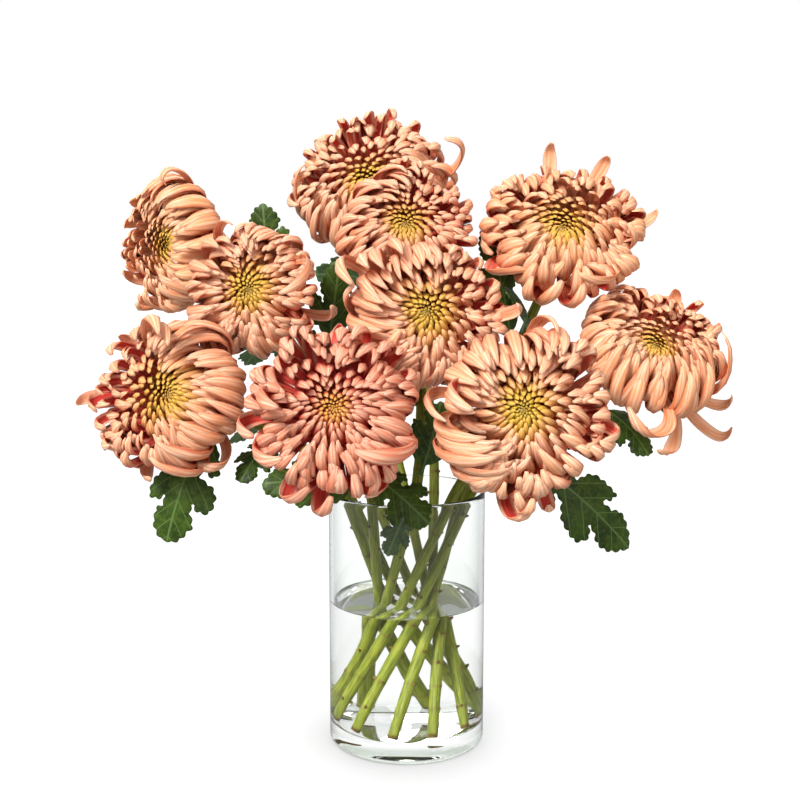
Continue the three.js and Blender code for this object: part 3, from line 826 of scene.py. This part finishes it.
def make_water(clear, still):
    inner = VASE["radius"] - VASE["wall"] - WATER_GAP
    base = VASE["base"]
    profile = [(0, base), (inner - 3.2, base + 0.05)]
    profile += arc((inner - INNER_ROUND, base + INNER_ROUND + 0.05), INNER_ROUND, -90, 0, 6)
    profile += [(inner, z) for z in np.linspace(base + 6, WATER_LEVEL + 1.3, 10)]
    top = len(profile) - 2
    profile += [(inner - 0.7, WATER_LEVEL + 0.6), (inner - 1.6, WATER_LEVEL + 0.2)]
    profile += [(inner - 3.2, WATER_LEVEL), (inner * 0.5, WATER_LEVEL), (0, WATER_LEVEL)]
    materials = [clear["clear_water"], still, clear["meniscus"]]
    bands = [top, top + 2]
    add_turned("water_body", "water", materials, profile, bands, [1, 2, 0])


# Materials

# The numbers of a Mix node's sockets for colours
MIX_FACTOR, MIX_A, MIX_B, MIX_RESULT = 0, 6, 7, 2


class Tree:
    """The nodes of a material or world, with short names for the few kinds that are used"""

    def __init__(self, owner, settings=None):
        owner.use_nodes = True
        self.owner = owner
        self.nodes = owner.node_tree.nodes
        self.links = owner.node_tree.links
        for socket, value in (settings or {}).items():
            self.finish(socket, value)

    def feed(self, socket, value):
        if isinstance(value, bpy.types.NodeSocket):
            self.links.new(value, socket)
        elif socket.type == "RGBA":
            socket.default_value = (*value, 1)
        else:
            socket.default_value = value

    def finish(self, socket, value):
        self.feed(self.nodes["Principled BSDF"].inputs[socket], value)

    def add(self, kind, inputs=None, output=0, **settings):
        """An output of a new node, whose inputs are fed by number or by name"""
        node = self.nodes.new("ShaderNode" + kind)
        for key, value in settings.items():
            setattr(node, key, value)
        for socket, value in (inputs or {}).items():
            self.feed(node.inputs[socket], value)
        return node.outputs[output]

    def math(self, operation, a, b=0.0):
        return self.add("Math", {0: a, 1: b}, operation=operation)

    def times(self, a, b):
        return self.math("MULTIPLY", a, b)

    def attribute(self, name, output="Color"):
        return self.add("Attribute", output=output, attribute_name=name)

    def split(self, colour):
        return self.add("SeparateColor", {0: colour}).node.outputs[:3]

    def ramp(self, factor, stops):
        output = self.add("ValToRGB", {0: factor})
        elements = output.node.color_ramp.elements
        for place, _ in stops[2:]:
            elements.new(place)
        for element, (place, colour) in zip(elements, stops):
            element.position = place
            element.color = (*colour, 1)
        return output

    def mix(self, factor, a, b, scale=1.0):
        if scale != 1:
            factor = self.times(factor, scale)
        return self.add("Mix", {MIX_FACTOR: factor, MIX_A: a, MIX_B: b}, MIX_RESULT, data_type="RGBA")

    def between(self, value, low, high):
        inputs = {"Value": value, "From Min": low, "From Max": high}
        return self.add("MapRange", inputs, interpolation_type="SMOOTHSTEP")

    def edge(self, across, start, full):
        away = self.math("ABSOLUTE", self.math("SUBTRACT", self.times(across, 2.0), 1.0))
        return self.between(away, start, full)

    def wave(self, value, frequency):
        return self.math("COSINE", self.times(value, frequency))

    def stretch(self, x, y, sx, sy, z=0.0):
        x, y = self.times(x, sx), self.times(y, sy)
        return self.add("CombineXYZ", {0: x, 1: y, 2: z})

    def noise(self, vector, scale):
        return self.add("TexNoise", {"Vector": vector, "Scale": scale})


PETAL_SHADER = {
    "Roughness": 0.45, "Specular IOR Level": 0.15, "Subsurface Weight": 0.12,
    "Subsurface Radius": (1, 0.3, 0.15), "Subsurface Scale": 0.003,
}
STEM_SHADER = {"Roughness": 0.45, "Specular IOR Level": 0.2}
LEAF_SHADER = {"Roughness": 0.5, "Specular IOR Level": 0.25}

# Colours of a floret by its age, and of a copper petal along its length; the copper darkens and
# reddens towards the root, partly the petal's own colour and partly painted shade deep in the head
HEART_RAMP = [
    (0, (0.04, 0.07, 0.008)), (0.05, (0.16, 0.17, 0.012)), (0.13, (0.62, 0.42, 0.03)),
    (0.26, (0.82, 0.48, 0.06)), (0.42, (0.78, 0.36, 0.10)),
]
COPPER_AND_ROOT_SHADE_RAMP = [
    (0.12, (0.52, 0.15, 0.05)), (0.35, (0.56, 0.15, 0.055)), (0.6, (0.70, 0.24, 0.11)),
    (0.82, (0.82, 0.37, 0.20)), (1, (0.90, 0.50, 0.33)),
]

# Cream, shade and flank hold a floret's colour and a grown petal's, and crimson runs from dark to
# light. Cream also serves as painted highlight on the crests of fine ridges; shade is painted shade in
# the grooves between them, and flank is painted shade along a petal's sides
CREAM = ((0.90, 0.60, 0.12), (0.97, 0.74, 0.55))
SHADE = ((0.30, 0.18, 0.010), (0.50, 0.10, 0.045))
FLANK_SHADE = ((0.26, 0.14, 0.008), (0.48, 0.07, 0.025))
ORANGE = (0.88, 0.36, 0.10)
AMBER = (0.86, 0.42, 0.18)
ROSE = (0.60, 0.11, 0.08)
# Crimson on the lower backs of opened petals: partly their own red, partly painted shade between them
STALK_CRIMSON_AND_SHADE = (0.50, 0.035, 0.028)
# Painted shade on the lower backs of petals, deep in the head
ROOT_SHADE = (0.26, 0.025, 0.006)
CRIMSON = ((0.56, 0.035, 0.03), (0.76, 0.14, 0.09))
ROLLED_RIM = (0.92, 0.52, 0.34)
HEART_INSIDE = (0.22, 0.11, 0.008)
# How far apart the fine ridges lie, with painted highlights on their crests and painted shade between
RIDGE_SPACING = 0.27


def make_petal_material(name):
    """Copper backs with fine streaks, painted highlights on fine ridges and painted shade in the grooves
    between them, along the petals' sides and towards their roots; crimson insides with rolled peach
    rims, and gold near the heart"""
    tree = Tree(bpy.data.materials.new(name), PETAL_SHADER)
    across, along, side = tree.split(tree.attribute("petal"))
    blush = tree.attribute("petal", "Alpha")
    age, tone, red = tree.split(tree.attribute("tint"))
    orange = tree.attribute("tint", "Alpha")
    grown = tree.between(age, 0.26, 0.58)
    body = tree.mix(grown, tree.ramp(age, HEART_RAMP), tree.ramp(along, COPPER_AND_ROOT_SHADE_RAMP))
    warmed = tree.mix(orange, body, ORANGE, scale=0.4)
    toned = tree.mix(tone, warmed, AMBER, scale=0.3)
    rose = tree.mix(blush, toned, ROSE, scale=0.6)
    cream = tree.mix(grown, *CREAM)
    grain = tree.noise(tree.stretch(across, along, 3, 1.4, tree.times(tone, 40)), 3)
    ridge = tree.wave(tree.math("SUBTRACT", across, 0.5), 2 * math.pi / RIDGE_SPACING)
    streaked = tree.mix(tree.between(grain, 0.4, 0.68), rose, cream, scale=0.4)
    # Painted highlight: cream along the crests of the fine ridges
    ridge_highlighted = tree.mix(tree.between(ridge, 0.2, 1), streaked, cream, scale=0.25)
    # Painted shade: darker lines in the grooves between the fine ridges
    groove_shaded = tree.mix(tree.between(ridge, -0.6, -1), ridge_highlighted, tree.mix(grown, *SHADE), scale=0.45)
    softened = tree.mix(tree.between(grain, 0.6, 0.35), groove_shaded, rose, scale=0.6)
    # Painted shade: the sides of a petal's back are darker and redder, as between crowded petals
    flank_shaded = tree.mix(tree.edge(across, 0.4, 0.95), softened, tree.mix(grown, *FLANK_SHADE), scale=0.45)
    inner = tree.between(age, 1, 0.75)
    # Partly the red of opened petals and partly painted shade between them, less on the outermost ones
    stalk = tree.times(tree.between(along, 0.86, 0.66), tree.between(red, 0.3, 0.8))
    stalk_darkened = tree.mix(tree.times(stalk, inner), flank_shaded, STALK_CRIMSON_AND_SHADE, scale=0.85)
    # Painted shade: the backs darken towards the roots, less so on the outermost petals
    root_shaded = tree.times(tree.between(along, 0.6, 0.15), inner)
    back = tree.mix(root_shaded, stalk_darkened, ROOT_SHADE, scale=0.9)
    crimson = tree.mix(tree.between(grain, 0.3, 0.8), *CRIMSON, scale=0.8)
    lining = tree.mix(tree.between(red, 0.1, 0.6), streaked, crimson)
    rim = tree.times(tree.edge(across, 0.42, 0.72), tree.between(along, 0.4, 0.65))
    rolled = tree.mix(rim, lining, ROLLED_RIM, scale=0.95)
    inside = tree.mix(tree.between(age, 0.45, 0.2), rolled, HEART_INSIDE)
    tree.finish("Base Color", tree.mix(side, back, inside))
    return tree.owner


def make_stem_material():
    """Green with darker streaks along the stem, brown scars and pale cut faces"""
    tree = Tree(bpy.data.materials.new("green_stem"), STEM_SHADER)
    kind, around, along = tree.split(tree.attribute("stem"))
    streak = tree.noise(tree.stretch(around, along, 9, 6), 2.5)
    green = tree.mix(tree.between(streak, 0.3, 0.7), (0.095, 0.13, 0.010), (0.27, 0.285, 0.032))
    scarred = tree.mix(tree.between(kind, 0.1, 0.45), green, (0.12, 0.055, 0.015), scale=0.8)
    pale = tree.mix(tree.between(kind, 0.7, 1), scarred, (0.55, 0.42, 0.26), scale=0.9)
    tree.finish("Base Color", pale)
    return tree.owner


def make_leaf_material():
    """Mottled dark green with paler veins, and a pale underside"""
    tree = Tree(bpy.data.materials.new("leaf"), LEAF_SHADER)
    x, out, length = tree.split(tree.attribute("leaf"))
    below = tree.attribute("leaf", "Alpha")
    across = tree.math("SUBTRACT", x, tree.times(out, VEINS["slope"]))
    lateral = tree.math("DIVIDE", across, tree.times(length, VEINS["spacing"]))
    side_vein = tree.between(tree.wave(lateral, 2 * math.pi), 0.955, 0.995)
    veins = tree.math("MAXIMUM", side_vein, tree.between(out, 0.009, 0.004))
    coordinates = tree.add("TexCoord", output="Object")
    mottle = tree.noise(coordinates, 90)
    fine = tree.noise(coordinates, 420)
    green = tree.mix(tree.between(mottle, 0.3, 0.7), (0.014, 0.034, 0.002), (0.044, 0.086, 0.006))
    grained = tree.mix(tree.between(fine, 0.4, 0.8), green, (0.10, 0.16, 0.015), scale=0.5)
    veined = tree.mix(veins, grained, (0.12, 0.20, 0.05), scale=0.7)
    pale = tree.mix(veins, (0.08, 0.15, 0.05), (0.20, 0.30, 0.12), scale=0.8)
    tree.finish("Base Color", tree.mix(below, veined, pale))
    tree.finish("Normal", tree.add("Bump", {"Strength": 0.35, "Distance": 0.0006, "Height": fine}))
    return tree.owner


# Clear materials: the index against what lies on the other side, so that wet glass has glass over
# water, the tint, and how much painted shade darkens the rim, in place of dark surroundings seen at
# grazing angles
CLEAR = dict(
    clear_glass=(1.5, (0.945, 0.96, 0.95), 0.9),
    wet_glass=(1.125, (1, 1, 1), 0.45),
    thick_glass=(1.5, (0.74, 0.80, 0.72), 0.95),
    clear_water=(1.333, (0.97, 0.98, 0.975), 0.4),
    # The meniscus's dark tint is painted shade for the dark line that bending and reflection give the
    # water's edge
    meniscus=(1.333, (0.20, 0.25, 0.20), 0.9),
)
PAINTED_RIM_SHADE = (0.42, 0.47, 0.45)
CLEAR_SHADOW = (0.93, 0.95, 0.94)


def make_clear_material(name, ior, tint, rim_shading):
    """Clear glass or water that lets the light of lamps through"""
    tree = Tree(bpy.data.materials.new(name), {
        "Roughness": 0, "IOR": ior, "Transmission Weight": 1, "Specular Tint": (0.4, 0.4, 0.4),
    })
    # Painted shade: the glass or water darkens towards grazing angles, in place of dark surroundings
    # seen there
    rim = tree.between(tree.add("LayerWeight", {"Blend": 0.35}, "Facing"), 0.25, 0.9)
    tree.finish("Base Color", tree.mix(rim, tint, PAINTED_RIM_SHADE, scale=rim_shading))
    shadow = tree.add("BsdfTransparent", {"Color": CLEAR_SHADOW})
    is_shadow = tree.add("LightPath", output="Is Shadow Ray")
    seen = tree.nodes["Principled BSDF"].outputs[0]
    surface = tree.add("MixShader", {0: is_shadow, 1: seen, 2: shadow})
    tree.links.new(surface, tree.nodes["Material Output"].inputs["Surface"])
    return tree.owner


def make_still_material():
    """The sides of the water, which the glass round them already bends"""
    tree = Tree(bpy.data.materials.new("still_water"))
    tree.links.new(tree.add("BsdfTransparent"), tree.nodes["Material Output"].inputs["Surface"])
    return tree.owner


# Camera, floor and light: each sun has its aim, its spread in degrees and its strength

CAMERA = dict(lens=57.06, place=(-4.3, -796.5, 330.8), looks_down=7.8)
FLOOR_HALF = 12
FLOOR_SHADER = {
    "Base Color": (0.16, 0.16, 0.16), "Roughness": 0.9, "Emission Color": (1, 1, 1),
}
SUNS = dict(
    key=((0.55, 0.75, -0.78), 22, 4.3),
    fill=((-0.5, 0.9, -0.5), 60, 1.0),
    back=((0.2, -0.8, -0.6), 40, 1.4),
)


def add_camera():
    data = bpy.data.cameras.new("camera")
    data.lens = CAMERA["lens"]
    camera = add_object("camera", data)
    camera.location = [x * MM for x in CAMERA["place"]]
    camera.rotation_euler = (math.radians(90 - CAMERA["looks_down"]), 0, 0)
    bpy.context.scene.camera = camera


def softer_when_bounced(tree, seen, bounced):
    """A white light's strength as it is seen, and a lower one where it lights other things"""
    reflected = tree.add("LightPath", output="Is Reflection Ray")
    bounces = tree.math("MAXIMUM", reflected, tree.add("LightPath", output="Diffuse Depth"))
    return tree.add("MapRange", {"Value": bounces, "To Min": seen, "To Max": bounced})


def add_floor():
    """A pale floor, with a painted contact shadow that dims its glow close to the vase"""
    mesh = bpy.data.meshes.new("floor")
    corners = [(x * FLOOR_HALF, y * FLOOR_HALF, 0) for x, y in ((-1, -1), (1, -1), (1, 1), (-1, 1))]
    mesh.from_pydata(corners, [], [(0, 1, 2, 3)])
    tree = Tree(bpy.data.materials.new("floor"), FLOOR_SHADER)
    # Painted contact shadow: ambient occlusion dims the floor's glow near the vase and bouquet
    near = tree.add("AmbientOcclusion", {"Distance": 0.06}, "AO")
    painted_contact_shadow = tree.math("ADD", tree.times(near, 0.8), 0.2)
    glow = softer_when_bounced(tree, 0.86, 0.1)
    tree.finish("Emission Strength", tree.times(glow, painted_contact_shadow))
    mesh.materials.append(tree.owner)
    add_object("floor", mesh)


def add_world():
    tree = Tree(bpy.data.worlds.new("studio"))
    background = tree.nodes["Background"].inputs
    tree.feed(background["Strength"], softer_when_bounced(tree, 1, 0.3))
    tree.feed(background["Color"], (1, 1, 1))
    bpy.context.scene.world = tree.owner


def add_sun(name, aim, spread, strength):
    data = bpy.data.lights.new(name, "SUN")
    data.angle = math.radians(spread)
    data.energy = strength
    light = add_object(name, data)
    light.rotation_euler = Vector(aim).to_track_quat("-Z", "Y").to_euler()


# The bouquet in its studio

copper = make_petal_material("copper_petal")
golden = make_petal_material("golden_heart")
green = make_stem_material()
leaf_green = make_leaf_material()
clear = {name: make_clear_material(name, *facts) for name, facts in CLEAR.items()}
still = make_still_material()
for number, flower in enumerate(FLOWERS, start=1):
    make_head(number, flower, copper, golden)
    make_stem(number, flower, green)
for number, leaf in enumerate(LEAVES, start=1):
    make_leaf(number, leaf_green, *leaf)
make_vase(clear)
make_water(clear, still)

add_camera()
add_floor()
add_world()
for name, sun in SUNS.items():
    add_sun(name, *sun)
bpy.context.scene.view_settings.view_transform = "Standard"
